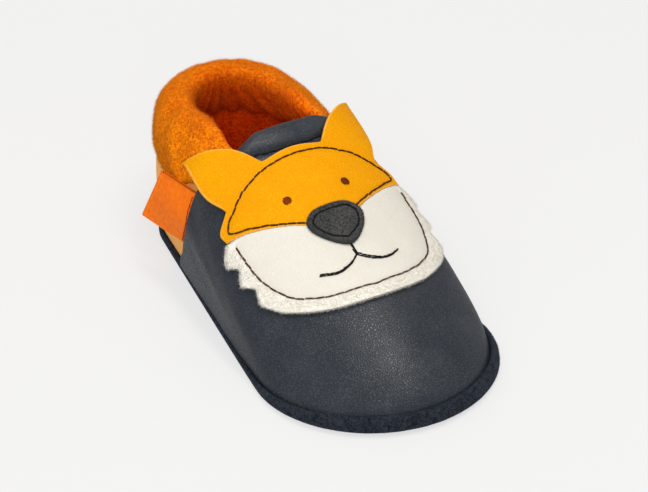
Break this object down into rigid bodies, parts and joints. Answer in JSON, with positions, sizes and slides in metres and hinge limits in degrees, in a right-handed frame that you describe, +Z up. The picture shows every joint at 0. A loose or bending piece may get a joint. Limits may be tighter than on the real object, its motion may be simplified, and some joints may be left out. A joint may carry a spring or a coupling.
{
  "type": "baby crawling shoe",
  "caption": "Soft baby crawling shoe: suede heel with a rolled elastic collar, smooth leather vamp with a sewn fox face, flat suede sole with a rolled toe edge.",
  "frame": {"origin": "on the floor under the middle of the sole, at the flat underside", "axes": "+Z up, -Y towards the toe, -X towards the outer side of the right foot"},
  "size_m": [0.0664, 0.1321, 0.0464],
  "materials": {
    "outsole": "dark navy suede, matt nap",
    "insole": "matt lining",
    "upper": "orange suede, matt nap",
    "vamp": "smooth fine grain, soft sheen",
    "face": "smooth leather, low sheen",
    "muzzle": "smooth leather with a raw edge",
    "nose": "fine grain, matt",
    "label": "woven, matt"
  },
  "bodies": {
    "root": {"outsole": "outsole", "insole": "insole", "upper": "upper", "vamp": "vamp", "face": "face", "muzzle": "muzzle", "nose": "nose", "label": "label"}
  },
  "joints": []
}
